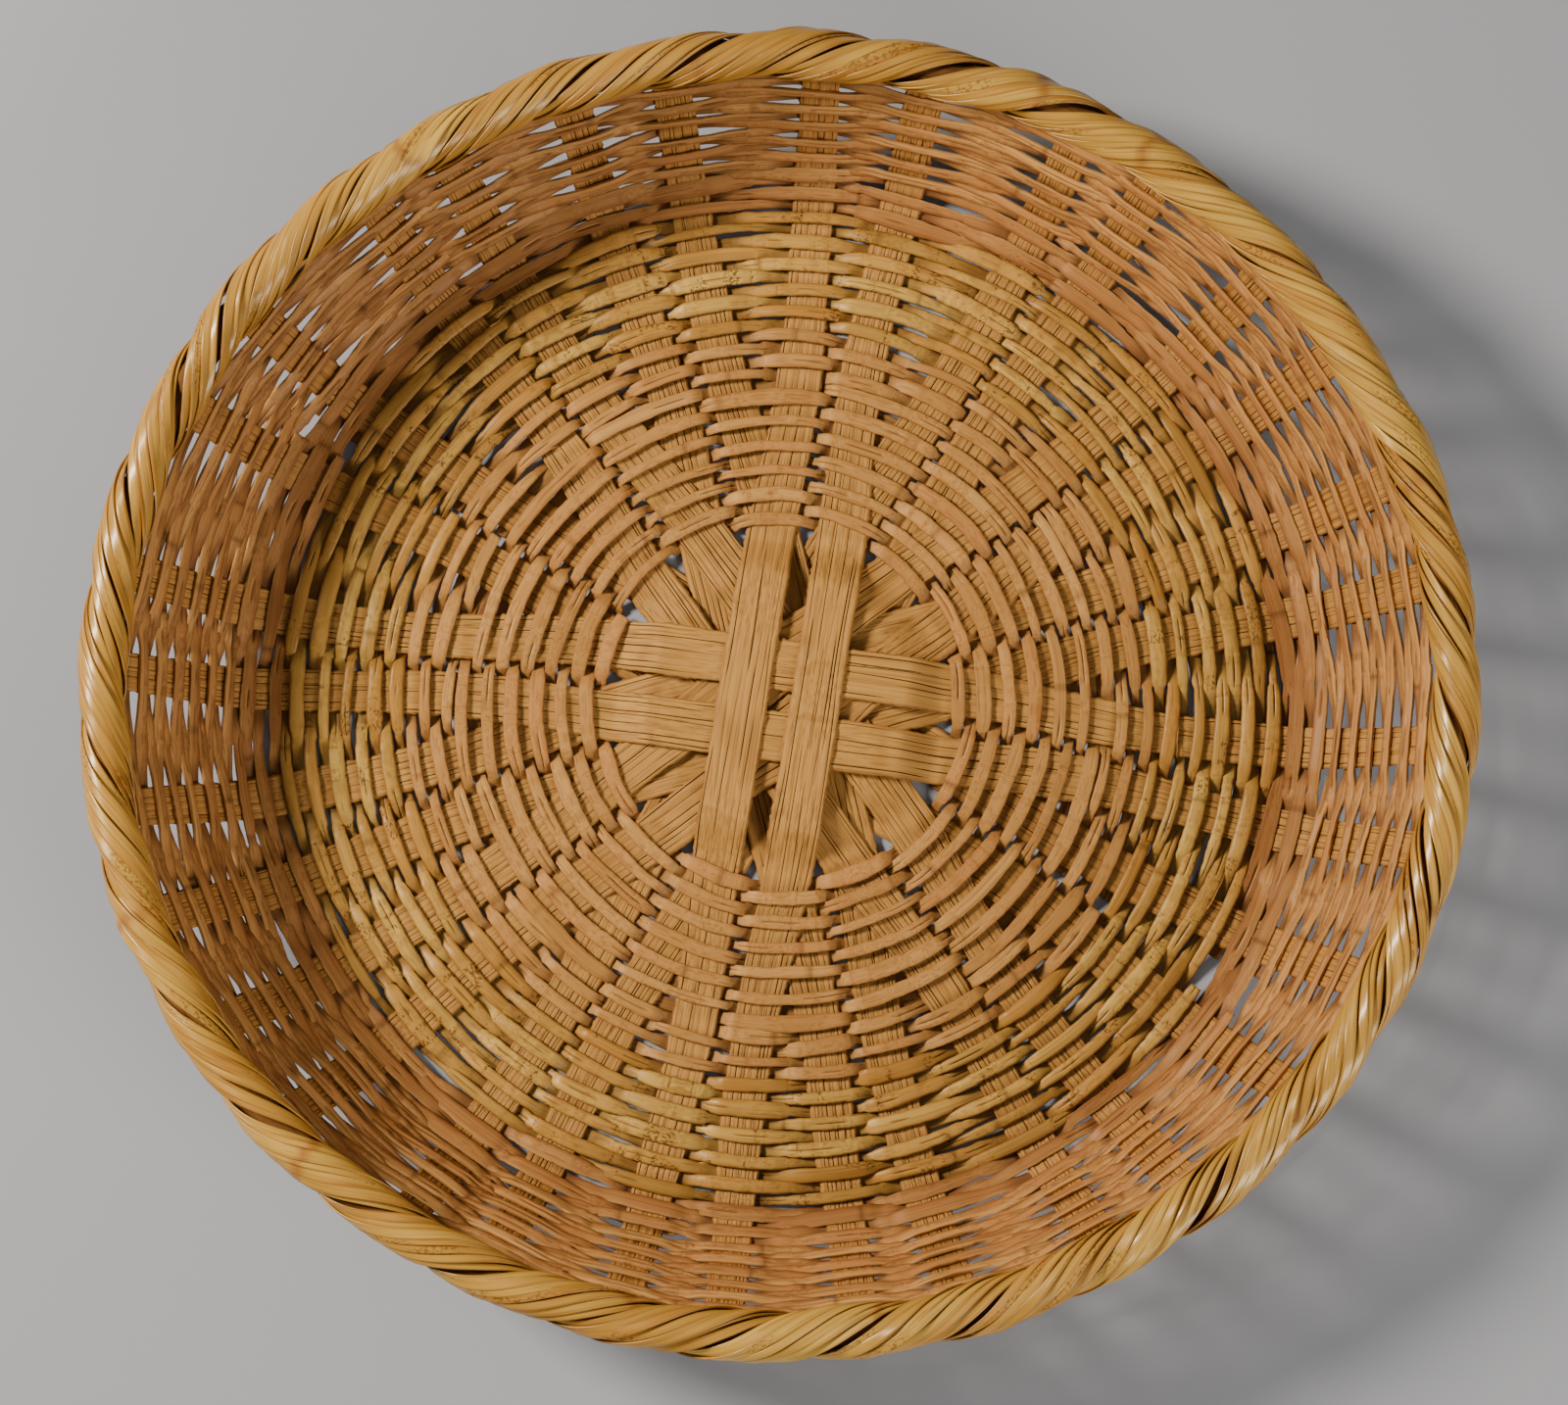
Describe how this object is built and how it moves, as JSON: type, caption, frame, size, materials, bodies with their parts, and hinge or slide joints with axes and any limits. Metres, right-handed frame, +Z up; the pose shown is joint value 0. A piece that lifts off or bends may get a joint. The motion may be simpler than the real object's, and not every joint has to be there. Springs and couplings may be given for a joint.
{
  "type": "winnowing basket",
  "caption": "Shallow round basket woven from flat split cane over crossed spokes, with a low flared wall and a thick twisted rim.",
  "frame": {"origin": "middle of the base, on the surface that the basket rests on", "axes": "+Z up out of the mouth, +X along the slightly longer diameter of the oval rim, +Y across it"},
  "size_m": [0.5, 0.4766, 0.0754],
  "materials": {
    "spoke_cane": "dry split cane pith, grooved along the grain",
    "tan_cane": "split cane pith, satin, orange tan",
    "rind_cane": "cane skin, semi-gloss, straw yellow with brown nodes",
    "rim_rind": "cane skin, semi-gloss, straw yellow with brown edges",
    "core_cane": "dry cane, matt"
  },
  "bodies": {
    "root": {"spoke_1_left": "spoke_cane", "spoke_1_right": "spoke_cane", "spoke_2_left": "spoke_cane", "spoke_2_right": "spoke_cane", "spoke_3_left": "spoke_cane", "spoke_3_right": "spoke_cane", "spoke_4_left": "spoke_cane", "spoke_4_right": "spoke_cane", "spoke_5_left": "spoke_cane", "spoke_5_right": "spoke_cane", "spoke_6_left": "spoke_cane", "spoke_6_right": "spoke_cane", "spoke_7_left": "spoke_cane", "spoke_7_right": "spoke_cane", "spoke_8_left": "spoke_cane", "spoke_8_right": "spoke_cane", "base_weaver_a": "tan_cane", "base_weaver_b": "tan_cane", "field_weaver_a": "tan_cane", "field_weaver_b": "tan_cane", "rind_weaver_a": "rind_cane", "rind_weaver_b": "rind_cane", "shoulder_weaver_a": "tan_cane", "shoulder_weaver_b": "tan_cane", "wall_weaver_a": "tan_cane", "wall_weaver_b": "tan_cane", "rim_core": "core_cane", "rim_wrap_01": "rim_rind", "rim_wrap_02": "rim_rind", "rim_wrap_03": "rim_rind", "rim_wrap_04": "rim_rind", "rim_wrap_05": "rim_rind", "rim_wrap_06": "rim_rind", "rim_wrap_07": "rim_rind", "rim_wrap_08": "rim_rind", "rim_wrap_09": "rim_rind", "rim_wrap_10": "rim_rind", "rim_wrap_11": "rim_rind", "rim_wrap_12": "rim_rind", "rim_wrap_13": "rim_rind", "rim_wrap_14": "rim_rind", "rim_wrap_15": "rim_rind", "rim_wrap_16": "rim_rind", "rim_wrap_17": "rim_rind", "rim_wrap_18": "rim_rind", "rim_wrap_19": "rim_rind", "rim_wrap_20": "rim_rind", "rim_wrap_21": "rim_rind", "rim_wrap_22": "rim_rind", "rim_wrap_23": "rim_rind", "rim_wrap_24": "rim_rind", "rim_wrap_25": "rim_rind", "rim_wrap_26": "rim_rind", "rim_wrap_27": "rim_rind", "rim_wrap_28": "rim_rind", "rim_wrap_29": "rim_rind", "rim_wrap_30": "rim_rind", "rim_wrap_31": "rim_rind", "rim_wrap_32": "rim_rind"}
  },
  "joints": []
}
